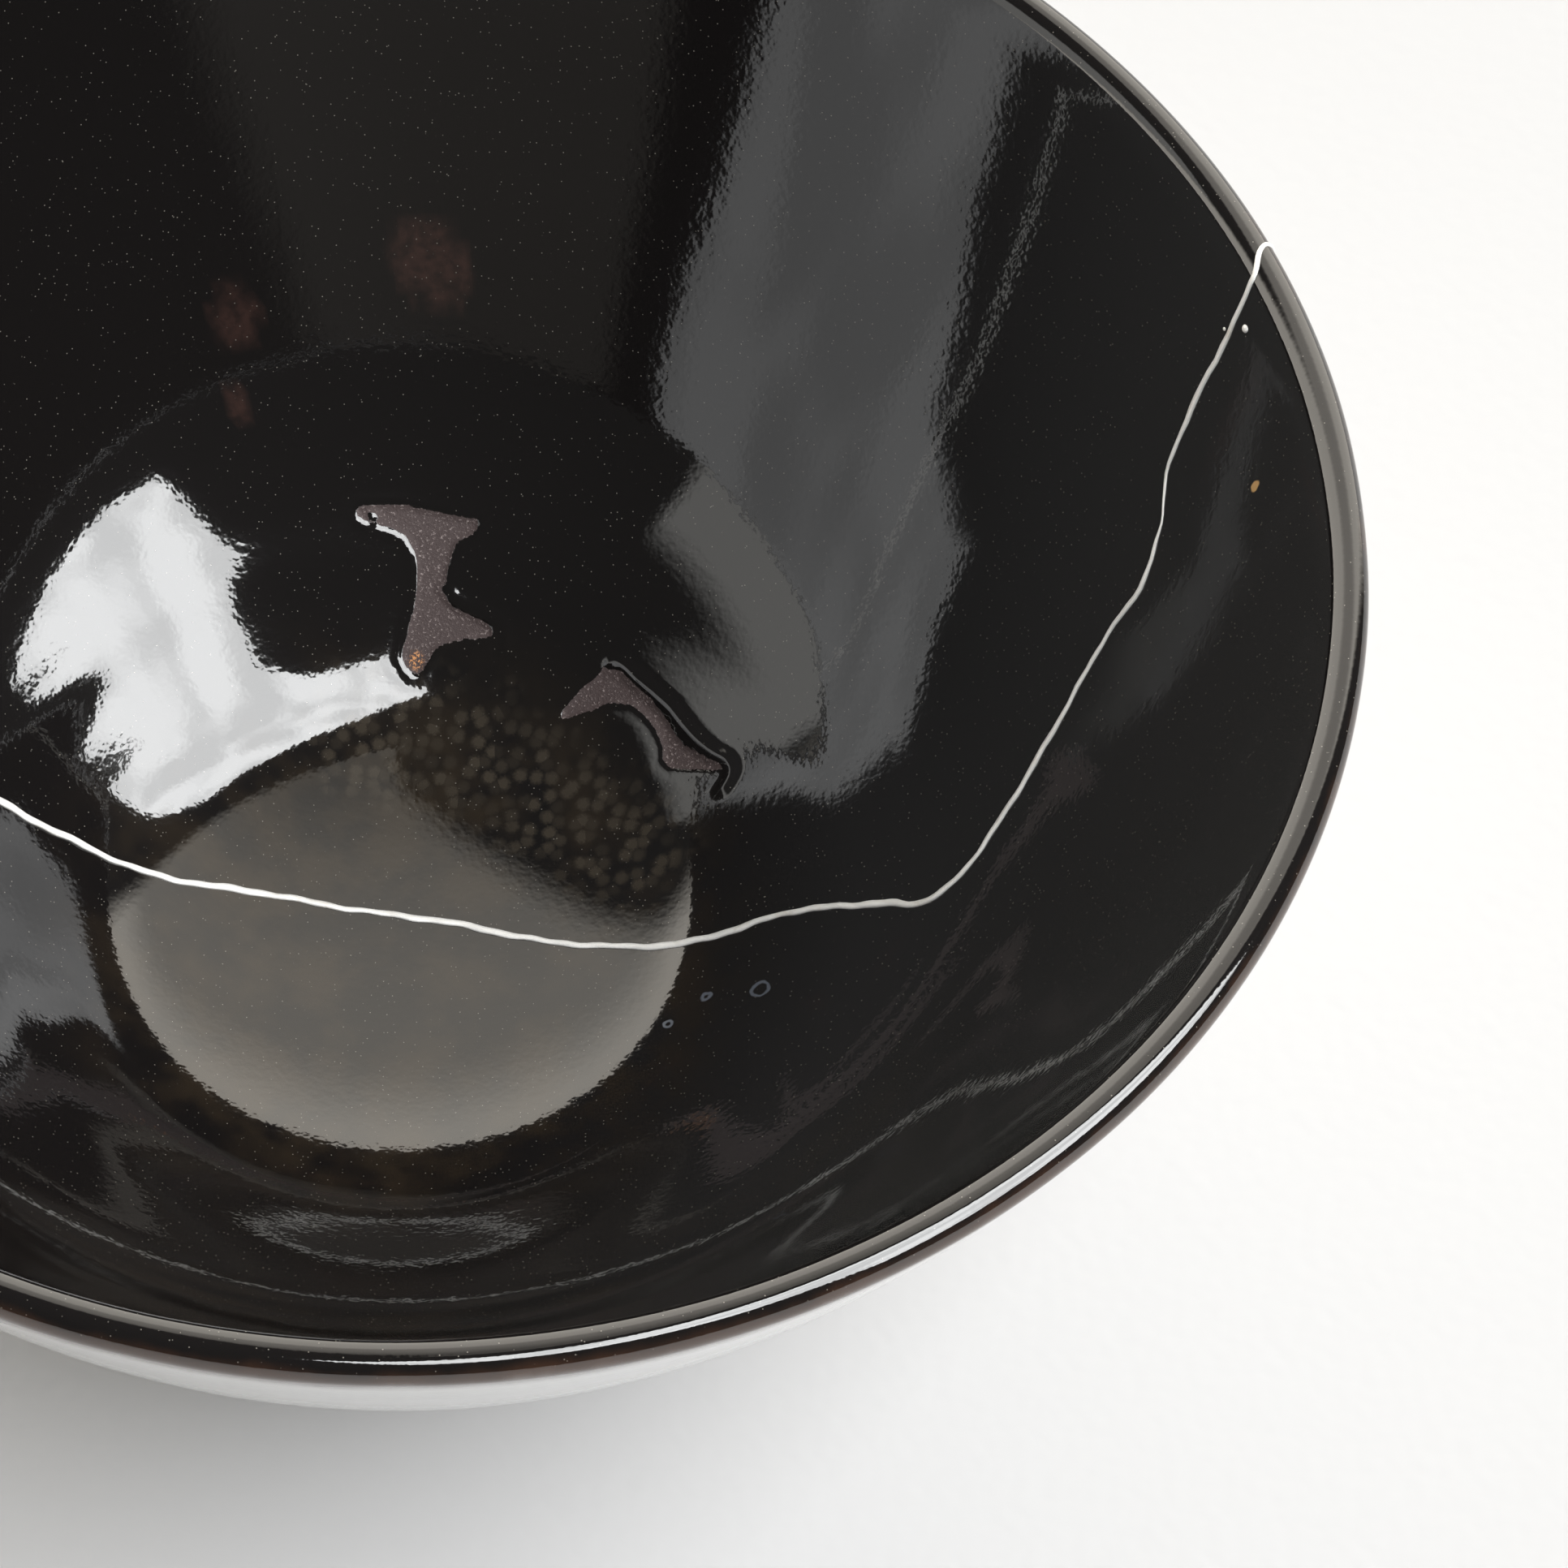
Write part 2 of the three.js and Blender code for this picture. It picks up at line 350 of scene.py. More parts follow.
def patchRelief(x, y):
    relief = np.zeros(x.shape)
    bare = np.zeros(x.shape)
    for number, outline in enumerate(bareClay["outlines"]):
        path = smoothPath(outline, closed=True, steps=5)
        reach, length = bareClay["edgeWander"]
        distance = outlineDistance(x, y, path) + reach * wander(x, y, length, 3 + number)
        width = bareClay["rollWidth"]
        rise = np.clip(distance / width, 0, 1)
        top = bareClay["rollHeight"]
        edge = -bareClay["depth"] + (bareClay["depth"] + top) * np.sqrt(1 - (1 - rise) ** 2)
        beyond = top * np.exp(-(((distance - width) / bareClay["rollFade"]) ** 2))
        grainHeight, length = bareClay["grain"]
        grain = grainHeight * wander(x, y, length, 8 + number)
        here = np.where(distance < 0, -bareClay["depth"] + grain, np.where(distance < width, edge, beyond))
        relief += here
        bare = np.maximum(bare, 1 - smoothStep(distance, *bareClay["maskFade"]))
    full, fades, drop = bareClay["ridgeEnds"]
    for path, height, reach in bareClay["ridges"]:
        distance, along = pathDistance(x, y, smoothPath(path))
        ends = smoothStep(along, 0.0, full) * (1 - drop * smoothStep(along, fades, 1.0))
        roll = height * (0.55 + 0.45 * ends) * np.cos(np.clip(distance / reach, 0, 1) * math.pi / 2) ** 2
        relief = np.where(distance < reach, np.maximum(relief, roll + 0.35 * relief), relief)
        bare *= smoothStep(distance, 0.25 * reach, 0.7 * reach)
    return relief, bare


def makeBowl(shape):
    line, insideCount, lipEnd = bowlSection(shape)
    tangent = np.gradient(line, axis=0)
    facing = np.stack([-tangent[:, 1], tangent[:, 0]], axis=1)
    facing /= np.linalg.norm(facing, axis=1, keepdims=True)
    lengths = np.concatenate([[0], np.cumsum(np.linalg.norm(np.diff(line, axis=0), axis=1))])
    angles = ringAngles(shape)
    rings = len(line)
    sides = len(angles)
    ringIndex = np.arange(rings)[:, None]
    radius = np.repeat(line[:, :1], sides, axis=1)
    turn = np.repeat(angles[None, :], rings, axis=0)
    x = radius * np.cos(turn)
    y = radius * np.sin(turn)

    # relief of the surface, square to it
    onInside = ringIndex < insideCount
    relief = np.zeros(radius.shape)
    bare = np.zeros(radius.shape)
    near, far, fade = shape["patchBand"]
    patched = onInside & (radius > near) & (radius < far) & (y > shape["patchSide"])
    relief[patched], bare[patched] = patchRelief(x[patched], y[patched])
    relief *= smoothStep(radius, near, near + fade) * (1 - smoothStep(radius, far - fade, far))
    height, spacing = shape["insideRipple"]
    swirl = np.sin(lengths[:, None] * 2 * math.pi / spacing + turn + 0.8 * np.sin(turn * 2))
    relief += onInside * height * swirl * smoothStep(radius, *shape["insideRippleFade"])
    height, distance, width, degrees, reach = shape["leftSwell"]
    gap = np.degrees(turn) - degrees
    swell = np.tanh((radius - distance) / width) * np.exp(-(((radius - distance) / (5 * width)) ** 2))
    relief += onInside * height * swell * np.exp(-((gap / reach) ** 4))
    height, spacing, start = shape["upperRipple"]
    sway = 0.7 * np.sin(lengths[:, None] * 0.9 + turn * 2)
    swirl = np.sin(lengths[:, None] * 2 * math.pi / spacing + turn + sway)
    strength = 0.55 + 0.45 * np.sin(turn * 3 + lengths[:, None] * 0.35)
    relief += onInside * height * swirl * strength * smoothStep(radius, start, start + 8)
    height, spacing = shape["outsideRipple"]
    onWall = (ringIndex >= lipEnd) & (line[:, 1:2] > shape["coveTop"])
    fromLip = lengths[:, None] - lengths[lipEnd - 1]
    swirl = np.sin(fromLip * 2 * math.pi / spacing + turn + 0.6 * np.sin(turn * 3 + 1))
    wanderFrom, rippleFrom, full = shape["aboveCove"]
    strength = smoothStep(fromLip, *shape["outsideRippleFade"]) * smoothStep(line[:, 1:2], rippleFrom, full)
    relief += onWall * height * swirl * strength
    height, length = shape["outsideWander"]
    relief += height * wander(x, y, length, 2) * (~onInside) * smoothStep(line[:, 1:2], wanderFrom, full)

    radius = radius + facing[:, :1] * relief
    z = line[:, 1:2] + facing[:, 1:] * relief
    points = np.stack([radius * np.cos(turn), radius * np.sin(turn), z], axis=2).reshape(-1, 3)
    underMiddle = shape["recessHeight"] + shape["recessDome"]
    points = np.vstack([points, [0, 0, floorHeight], [0, 0, underMiddle]]) * mm

    faces = []
    for i in range(rings - 1):
        for k in range(sides):
            here = i * sides + k
            beside = i * sides + (k + 1) % sides
            faces.append((here, here + sides, beside + sides, beside))
    last = (rings - 1) * sides
    for k in range(sides):
        faces.append((rings * sides, k, (k + 1) % sides))
        faces.append((rings * sides + 1, last + (k + 1) % sides, last + k))
    mesh = bpy.data.meshes.new("bowl_glazed")
    mesh.from_pydata(points.tolist(), [], faces)
    mesh.validate()
    mesh.shade_smooth()

    # how far past the top of the lip, and the masks of the finish
    turnLength = lengths[:, None] - lengths[insideCount - 1] - math.pi * shape["lipWall"] / 4
    crystalGap, _ = pathDistance(x, y, smoothPath(glazeMarks["crystalPath"]))
    crystalGap += 2 * wander(x, y, 9, 4)
    reach = glazeMarks["crystalReach"]
    crystal = (1 - smoothStep(crystalGap, 0.35 * reach, reach)) * onInside
    thin = np.zeros(x.shape)
    for placeX, placeY, halfX, halfY, degrees in glazeMarks["thinPlaces"]:
        angle = math.radians(degrees)
        alongX = (x - placeX) * math.cos(angle) + (y - placeY) * math.sin(angle)
        alongY = (y - placeY) * math.cos(angle) - (x - placeX) * math.sin(angle)
        gap = np.hypot(alongX / halfX, alongY / halfY) + 0.22 * wander(x, y, 4.2, 6)
        thin = np.maximum(thin, (1 - smoothStep(gap, 0.7, 1.0)) * onInside)
    orangeX, orangeY = glazeMarks["orangeAt"]
    orange = np.hypot(x - orangeX, y - orangeY)
    rightX, rightY, rightReach = glazeMarks["rightWall"]
    layers = {
        "pastLip": np.broadcast_to(turnLength, x.shape),
        "bareClay": bare,
        "crystals": crystal,
        "thinGlaze": thin,
        "floorPool": (1 - smoothStep(np.hypot(x, y), *glazeMarks["floorPool"])) * onInside,
        # mask of the right-hand wall, where painted light makes the black lighter
        "rightWall": np.clip((x * rightX + y * rightY) / rightReach, 0, 1) * onInside,
        "orangeClay": (1 - smoothStep(orange, 0.4, glazeMarks["orangeReach"])) * onInside,
    }
    for name, values in layers.items():
        layer = mesh.attributes.new(name, "FLOAT", "POINT")
        ends = [values[0].mean(), values[-1].mean()]
        layer.data.foreach_set("value", np.concatenate([values.ravel(), ends]).astype(np.float32))
    bowl = bpy.data.objects.new("bowl_glazed", mesh)
    bpy.context.scene.collection.objects.link(bowl)
    print("bowl made,", rings, "rings,", sides, "sides,", 2 * len(mesh.polygons), "triangles at most")
    return bowl


bowl = makeBowl(bowlShape)
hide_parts("bowl")
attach(bowl, "root")


# Silver line over the mended break, as a low rounded bead that sits on the glaze
silverLine = {
    "startAngle": 168.5,  # where the break leaves the lip on the left, degrees
    "endAngle": 26.1,
    "places": [  # in plan, left to right
        (-63, 12.4), (-55, 9.6), (-47, 9.9), (-41, 7.4), (-35.3, 5.7), (-28.6, 5.5), (-20.9, 5.4),
        (-13, 5.8), (-5.2, 5.5), (3.7, 5.2), (12.6, 4), (22.2, 3.6), (28.6, 3.9), (32.7, 4.1),
        (36.9, 3.3), (41, 2.1), (44.2, 0.8), (47, 1.8), (50.1, 5.5), (53.4, 10.3), (56.6, 15),
        (58.9, 17), (60, 20.4), (60.1, 24.3), (61.6, 27.5), (63.5, 29.8),
    ],
    "width": 0.62,
    "thinAt": (60.0, 21.6, 2.6, 0.26),  # place in plan, reach, width there
    "blobAt": (61.5, 27.4, 0.8, 0.80),
    "height": 0.20,
    "sunk": 0.06,  # its edges dip into the glaze
    "spacing": 0.55,
    "footRadius": 34.5,
    "lipSteps": 16,
    "endLean": 2.0,  # degrees that the right-hand end slants by as it crosses the lip
    "leanRun": 12.0,  # distance from the lip over which it comes back on the outside
    "sectionSteps": 8,
    "endTaper": (0.25, 2.0),  # share of the width at the very end, and the run that adds a whole width
    "drops": [(70.8, 24.2, 0.36), (70.0, 25.7, 0.17)],  # distance, degrees, radius
    "dropRise": 0.55,  # height of a drop as a share of its radius
    "dropSunk": -0.35,  # radians, where its side starts under the glaze
}


def station(radius, height, facing, angle):
    outward = np.array([math.cos(angle), math.sin(angle), 0.0])
    place = outward * radius + np.array([0, 0, height])
    normal = outward * facing[0] + np.array([0, 0, facing[1]])
    return place, normal / np.linalg.norm(normal)


def insideStation(radius, angle):
    slope = float(insideSlope(radius))
    return station(radius, float(insideHeight(radius)), (-math.sin(slope), math.cos(slope)), angle)


def outsideStation(radius, angle):
    slope = float(insideSlope(radius))
    outRadius, outHeight = outsidePoint(radius)
    return station(float(outRadius), float(outHeight), (math.sin(slope), -math.cos(slope)), angle)


def lipStation(turn, angle):
    point, facing = lipPoint(turn)
    return station(point[0], point[1], facing, angle)


def breakStations(line):
    startAngle = math.radians(line["startAngle"])
    endAngle = math.radians(line["endAngle"])
    start = (insideRadius * math.cos(startAngle), insideRadius * math.sin(startAngle))
    end = (insideRadius * math.cos(endAngle), insideRadius * math.sin(endAngle))
    path = smoothPath([start, *line["places"], end], steps=40)
    gone = np.concatenate([[0], np.cumsum(np.linalg.norm(np.diff(path, axis=0), axis=1))])
    stops = np.linspace(0, gone[-1], int(gone[-1] / line["spacing"]))
    x = np.interp(stops, gone, path[:, 0])
    y = np.interp(stops, gone, path[:, 1])
    radii = np.minimum(np.hypot(x, y), insideRadius)
    angles = np.arctan2(y, x)
    spots = list(zip(radii, angles))
    leftWall = [spot for spot in spots if spot[0] > line["footRadius"] and math.cos(spot[1]) < 0]
    rightWall = [spot for spot in spots if spot[0] > line["footRadius"] and math.cos(spot[1]) > 0]
    turns = [i / line["lipSteps"] for i in range(1, line["lipSteps"])]
    stations = [outsideStation(*spot) for spot in reversed(leftWall)]
    stations += [lipStation(turn, angles[0]) for turn in reversed(turns)]
    stations += [insideStation(*spot) for spot in spots]
    lean = math.radians(line["endLean"])
    stations += [lipStation(turn, angles[-1] + lean * smoothStep(turn, 0, 0.6)) for turn in turns]
    for radius, angle in reversed(rightWall):
        share = smoothStep(radius, insideRadius - line["leanRun"], insideRadius)
        stations.append(outsideStation(radius, angle + lean * share))
    return stations


def lineWidth(line, place, gone):
    waves = 0.10 * math.sin(gone * 0.31) + 0.07 * math.sin(gone * 0.83 + 1)
    waves += 0.05 * math.sin(gone * 2.3 + 2)
    width = line["width"] * (1 + waves)
    for x, y, reach, target in (line["thinAt"], line["blobAt"]):
        near = math.exp(-((math.hypot(place[0] - x, place[1] - y) / reach) ** 2))
        width += (target - width) * near
    wall = smoothStep(math.hypot(place[0], place[1]), 45, 62)
    return width * (1 - 0.18 * wall)


def makeSilverLine(line):
    stations = breakStations(line)
    places = np.array([place for place, normal in stations])
    normals = np.array([normal for place, normal in stations])
    along = np.gradient(places, axis=0)
    along /= np.linalg.norm(along, axis=1, keepdims=True)
    sideways = np.cross(along, normals)
    sideways /= np.linalg.norm(sideways, axis=1, keepdims=True)
    gone = np.concatenate([[0], np.cumsum(np.linalg.norm(np.diff(places, axis=0), axis=1))])
    sectionSteps = line["sectionSteps"]
    endShare, run = line["endTaper"]
    points = []
    for i, place in enumerate(places):
        taper = min(1.0, endShare + min(gone[i], gone[-1] - gone[i]) / run)
        width = lineWidth(line, place, gone[i]) * taper
        height = line["height"] * (width / line["width"]) ** 0.6 * (1 + 0.12 * math.sin(gone[i] * 1.7))
        drift = 0.07 * math.sin(gone[i] * 0.9) + 0.04 * math.sin(gone[i] * 2.1 + 1)
        for k in range(sectionSteps):
            angle = math.pi * k / (sectionSteps - 1)
            side = -math.cos(angle) * width / 2
            if k == 0 or k == sectionSteps - 1:
                up = -line["sunk"]
            else:
                up = height * math.sin(angle) ** 0.8
            points.append(place + sideways[i] * (side + drift) + normals[i] * up)
    faces = []
    for i in range(len(places) - 1):
        for k in range(sectionSteps):
            here = i * sectionSteps + k
            beside = i * sectionSteps + (k + 1) % sectionSteps
            faces.append((here, beside, beside + sectionSteps, here + sectionSteps))
    last = (len(places) - 1) * sectionSteps
    faces.append(tuple(reversed(range(sectionSteps))))
    faces.append(tuple(last + k for k in range(sectionSteps)))
    for radius, degrees, size in line["drops"]:
        addDrop(points, faces, *insideStation(radius, math.radians(degrees)), size, line)
    mesh = bpy.data.meshes.new("silver_line")
    mesh.from_pydata((np.array(points) * mm).tolist(), [], faces)
    mesh.validate()
    mesh.shade_smooth()
    silver = bpy.data.objects.new("silver_line", mesh)
    bpy.context.scene.collection.objects.link(silver)
    print("silver line made,", len(places), "stations,", round(float(gone[-1]), 1), "mm long")
    return silver


# A small drop of silver beside the line
def addDrop(points, faces, place, normal, size, line):
    sideways = np.cross(normal, [0.0, 0.0, 1.0])
    sideways /= np.linalg.norm(sideways)
    across = np.cross(normal, sideways)
    sides, levels = 16, 6
    first = len(points)
    sunk = line["dropSunk"]
    rise = normal * line["dropRise"] * size
    for level in range(levels):
        angle = sunk + (math.pi / 2 - sunk) * level / levels
        for k in range(sides):
            turn = 2 * math.pi * k / sides
            reach = size * math.cos(angle) * (1 + 0.08 * math.sin(2 * turn + 1))
            offset = sideways * math.cos(turn) * reach + across * math.sin(turn) * reach
            points.append(place + offset + rise * math.sin(angle))
    points.append(place + rise)
    for level in range(levels - 1):
        for k in range(sides):
            here = first + level * sides + k
            beside = first + level * sides + (k + 1) % sides
            faces.append((here, beside, beside + sides, here + sides))
    top = first + (levels - 1) * sides
    for k in range(sides):
        faces.append((top + k, top + (k + 1) % sides, len(points) - 1))
    faces.append(tuple(first + k for k in reversed(range(sides))))


silver = makeSilverLine(silverLine)
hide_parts("silver_seam")
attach(silver, "root")


# Small helpers for building materials out of nodes
class NodeMaker:
    def __init__(self, tree):
        self.tree = tree
        self.tree.nodes.clear()

    def add(self, kind, settings=None, **sockets):
        node = self.tree.nodes.new(kind)
        for name, value in (settings or {}).items():
            setattr(node, name, value)
        for name, value in sockets.items():
            self.plug(node, name, value)
        return node

    def plug(self, node, name, value):
        socket = node.inputs[int(name[1:])] if name[0] == "i" and name[1:].isdigit() else node.inputs[name]
        if isinstance(value, bpy.types.NodeSocket):
            self.tree.links.new(value, socket)
        else:
            socket.default_value = value

    def math(self, operation, a, b=0.0):
        return self.add("ShaderNodeMath", {"operation": operation}, i0=a, i1=b).outputs[0]

    def ramp(self, value, low, high, start=0.0, end=1.0):
        node = self.add("ShaderNodeMapRange", {"interpolation_type": "SMOOTHSTEP"})
        for index, item in enumerate((value, low, high, start, end)):
            self.plug(node, f"i{index}", item)
        return node.outputs[0]

    def tint(self, color, strength):
        node = self.add("ShaderNodeVectorMath", {"operation": "SCALE"}, i0=color, Scale=strength)
        return node.outputs[0]

    def mixColor(self, share, a, b):
        node = self.add("ShaderNodeMix", {"data_type": "RGBA"})
        self.plug(node, "i0", share)
        self.plug(node, "i6", a)
        self.plug(node, "i7", b)
        return node.outputs[2]

    def mixValue(self, share, a, b):
        node = self.add("ShaderNodeMix", {"data_type": "FLOAT"})
        self.plug(node, "i0", share)
        self.plug(node, "i2", a)
        self.plug(node, "i3", b)
        return node.outputs[0]

    def noise(self, vector, spacing, detail=2.0, rough=0.5):
        node = self.add("ShaderNodeTexNoise")
        self.plug(node, "Vector", vector)
        self.plug(node, "Scale", 1 / (spacing * mm))
        self.plug(node, "Detail", detail)
        self.plug(node, "Roughness", rough)
        return node.outputs[0]

    def cells(self, vector, spacing, flat=False):
        node = self.add("ShaderNodeTexVoronoi", {"voronoi_dimensions": "2D" if flat else "3D"})
        self.plug(node, "Vector", vector)
        self.plug(node, "Scale", 1 / (spacing * mm))
        return node.outputs["Distance"], node.outputs["Color"]

    def layer(self, name):
        return self.add("ShaderNodeAttribute", {"attribute_name": name}).outputs["Fac"]

    def bump(self, height, size, normal=None, strength=1.0):
        node = self.add("ShaderNodeBump")
        self.plug(node, "Height", height)
        self.plug(node, "Distance", size * mm)
        self.plug(node, "Strength", strength)
        if normal is not None:
            self.plug(node, "Normal", normal)
        return node.outputs[0]


def newMaterial(name):
    material = bpy.data.materials.new(name)
    material.use_nodes = True
    return material, NodeMaker(material.node_tree)


# Bowl finish
bowlFinish = {
    "black": (0.0070, 0.0061, 0.0060, 1),
    "paintedLightBlack": (0.026, 0.026, 0.0265, 1),  # painted light: a lighter, greyer black on the right-hand wall, where more light falls
    "brownEdge": (0.055, 0.026, 0.015, 1),
    "white": (0.78, 0.775, 0.765, 1),
    "whiteShade": (0.745, 0.735, 0.72, 1),
    "clay": (0.045, 0.025, 0.0235, 1),
    "clayLight": (0.26, 0.21, 0.20, 1),
    "orange": (0.62, 0.27, 0.09, 1),
    "footClay": (0.36, 0.27, 0.20, 1),
    "crystal": (0.043, 0.035, 0.026, 1),
    "brownPool": (0.024, 0.0175, 0.0115, 1),  # where the glaze lies thick on the floor
    "thin": (0.034, 0.018, 0.015, 1),
    "speck": (0.185, 0.173, 0.15, 1),
    "specks": (0.46, 0.15, 0.42),  # spacing, size as a share of it, share left out
    "goldFleck": (0.50, 0.30, 0.12, 1),
    "driedDrop": (0.16, 0.18, 0.22, 1),
    "ior": 1.8,
    "glossRough": 0.045,
    "whiteRough": 0.10,
    "clayRough": 0.8,
    "markRough": 0.4,
    "clayBump": 0.10,
    "crystalSpacing": 1.45,
    "broadSpacing": 7.5,
    "smallSpacing": 0.95,
    "grainSpacing": 0.24,
    "orangePeel": (0.62, 0.0068),  # spacing, height
    "softWaves": (4.6, 0.008),
    "lipFadeFrom": 0.4,  # past the top of the lip, where black starts to thin to brown
    "lipFadeTo": 5.6,
    "fleckAt": (66.5, 17.2, 68.45),
    "fleckEdge": (0.50, 0.66),
    "fleckSqueeze": 0.62,  # its height counts for this much, so it is taller than wide
    "driedDrops": [(31.3, -3.0, 0.75), (26.7, -2.3, 0.42), (23.7, -4.6, 0.34)],  # in plan, and size
    "ringEdge": (0.05, 0.2),
    "footLine": (2.5, 2.8),  # height at which the white glaze starts
    "footShade": 0.72,
}


def makeBowlMaterial(finish):
    material, m = newMaterial("bowlGlazes")
    place = m.add("ShaderNodeTexCoord").outputs["Object"]
    pastLip = m.layer("pastLip")
    bare = m.layer("bareClay")

    # three scales of unevenness that the marks below share
    broad = m.noise(place, finish["broadSpacing"], 3, 0.6)
    small = m.noise(place, finish["smallSpacing"], 2)
    grain = m.noise(place, finish["grainSpacing"], 2, 0.7)

    # black glaze, with crystals and specks in it
    # painted light: the black turns lighter towards the right-hand wall, standing in for the light that
    # falls there
    black = m.mixColor(m.ramp(m.layer("rightWall"), 0.15, 0.9), finish["black"], finish["paintedLightBlack"])
    thin = m.math("MULTIPLY", m.layer("thinGlaze"), m.ramp(small, 0.25, 0.75, 0.35, 1.0))
    black = m.mixColor(thin, black, finish["thin"])
    gap, cellColor = m.cells(place, finish["crystalSpacing"], flat=True)
    cellPick = m.add("ShaderNodeSeparateColor", i0=cellColor).outputs[0]
    petals = m.math("ADD", gap, m.math("MULTIPLY", grain, 0.5))
    dot = m.math("MULTIPLY", m.ramp(petals, 0.44, 0.84, 1.0, 0.0), m.ramp(cellPick, 0.1, 0.8, 0.3, 1.0))
    dot = m.math("MULTIPLY", dot, m.layer("crystals"))
    black = m.mixColor(dot, black, finish["crystal"])
    mottle = m.math("MULTIPLY", m.ramp(broad, 0.36, 0.66), m.layer("floorPool"))
    black = m.mixColor(mottle, black, m.mixColor(dot, finish["brownPool"], finish["crystal"]))
    spacing, reach, rareness = finish["specks"]
    gap, cellColor = m.cells(place, spacing)
    cellPick = m.add("ShaderNodeSeparateColor", i0=cellColor).outputs[1]
    kept = m.ramp(cellPick, rareness, rareness + 0.3)
    speck = m.math("MULTIPLY", m.ramp(gap, 0.5 * reach, reach, 1.0, 0.0), kept)
    black = m.mixColor(speck, black, finish["speck"])

    # a gold fleck and dried drops
    offset = m.add("ShaderNodeVectorMath", {"operation": "SUBTRACT"}, i0=place,
                   i1=[value * mm for value in finish["fleckAt"]]).outputs[0]
    squeezed = m.add("ShaderNodeVectorMath", {"operation": "MULTIPLY"}, i0=offset,
                     i1=(1.0, 1.0, finish["fleckSqueeze"])).outputs[0]
    length = m.add("ShaderNodeVectorMath", {"operation": "LENGTH"}, i0=squeezed).outputs["Value"]
    length = m.math("ADD", length, m.math("MULTIPLY", small, 0.35 * mm))
    full, gone = finish["fleckEdge"]
    fleck = m.ramp(length, full * mm, gone * mm, 1.0, 0.0)
    black = m.mixColor(fleck, black, finish["goldFleck"])
    drops = None
    ringFull, ringGone = finish["ringEdge"]
    inPlan = m.add("ShaderNodeVectorMath", {"operation": "MULTIPLY"}, i0=place, i1=(1, 1, 0)).outputs[0]
    for x, y, size in finish["driedDrops"]:
        gap = m.add("ShaderNodeVectorMath", {"operation": "DISTANCE"}, i0=inPlan, i1=(x * mm, y * mm, 0))
        gap = m.math("ADD", gap.outputs["Value"], m.math("MULTIPLY", small, 0.5 * mm))
        off = m.math("ABSOLUTE", m.math("SUBTRACT", gap, (size + 0.22) * mm))
        ring = m.ramp(off, ringFull * mm, ringGone * mm, 1.0, 0.0)
        drops = ring if drops is None else m.math("MAXIMUM", drops, ring)
    inside = m.ramp(pastLip, -4.0, -3.5, 1.0, 0.0)
    drops = m.math("MULTIPLY", m.math("MULTIPLY", drops, 0.6), inside)
    black = m.mixColor(drops, black, finish["driedDrop"])

    # over the lip the black thins to brown and then gives way to the white
    uneven = m.math("MULTIPLY", m.math("SUBTRACT", broad, 0.5), 2.6)
    edge = m.math("ADD", pastLip, uneven)
    low, high = finish["lipFadeFrom"], finish["lipFadeTo"]
    color = m.mixColor(m.ramp(edge, low, low + 1.8), black, finish["brownEdge"])
    white = m.mixColor(m.ramp(broad, 0.4, 0.7), finish["white"], finish["whiteShade"])
    whiteShare = m.ramp(edge, low + 1.3, high)
    color = m.mixColor(whiteShare, color, white)

    # bare clay of the drawn-back places and of the foot
    clay = m.mixColor(m.ramp(grain, 0.56, 0.72), finish["clay"], finish["clayLight"])
    flecks = m.ramp(grain, 0.50, 0.58)
    clay = m.mixColor(m.math("MULTIPLY", m.layer("orangeClay"), flecks), clay, finish["orange"])
    grainShift = m.math("MULTIPLY", m.math("SUBTRACT", grain, 0.5), 0.5)
    bareShare = m.ramp(m.math("ADD", bare, grainShift), 0.35, 0.6)
    color = m.mixColor(bareShare, color, clay)
    height = m.add("ShaderNodeSeparateXYZ", i0=place).outputs[2]
    footLine = m.math("ADD", height, m.math("MULTIPLY", broad, 1.6 * mm))
    full, gone = finish["footLine"]
    footShare = m.ramp(footLine, full * mm, gone * mm, 1.0, 0.0)
    footDark = [finish["footShade"] * part for part in finish["footClay"][:3]] + [1]
    footColor = m.mixColor(m.ramp(small, 0.35, 0.7), finish["footClay"], footDark)
    color = m.mixColor(footShare, color, footColor)

    # gloss and the fine unevenness of the glaze
    rough = m.mixValue(whiteShare, finish["glossRough"], finish["whiteRough"])
    rough = m.mixValue(m.math("MAXIMUM", bareShare, footShare), rough, finish["clayRough"])
    rough = m.mixValue(m.math("MAXIMUM", drops, fleck), rough, finish["markRough"])
    spacing, size = finish["orangePeel"]
    normal = m.bump(m.noise(place, spacing, 1.0), size)
    spacing, size = finish["softWaves"]
    normal = m.bump(m.noise(place, spacing, 1.0), size, normal)
    normal = m.bump(grain, finish["clayBump"], normal, m.math("MAXIMUM", bareShare, footShare))
    shader = m.add("ShaderNodeBsdfPrincipled")
    m.plug(shader, "Base Color", color)
    m.plug(shader, "Roughness", rough)
    m.plug(shader, "Normal", normal)
    m.plug(shader, "IOR", finish["ior"])
    output = m.add("ShaderNodeOutputMaterial")
    m.plug(output, "Surface", shader.outputs[0])
    return material


bowl.data.materials.append(makeBowlMaterial(bowlFinish))
print("bowl finish made")


# Silver finish: powder rubbed on lacquer, nearly white where it is thick
silverFinish = {
    "bright": (0.95, 0.94, 0.91, 1),
    "dull": (0.74, 0.70, 0.64, 1),
    "metallic": 0.32,
    "roughness": (0.38, 0.58),
    "wear": 3.5,
    "grain": 0.22,
    "grainHeight": 0.03,
}


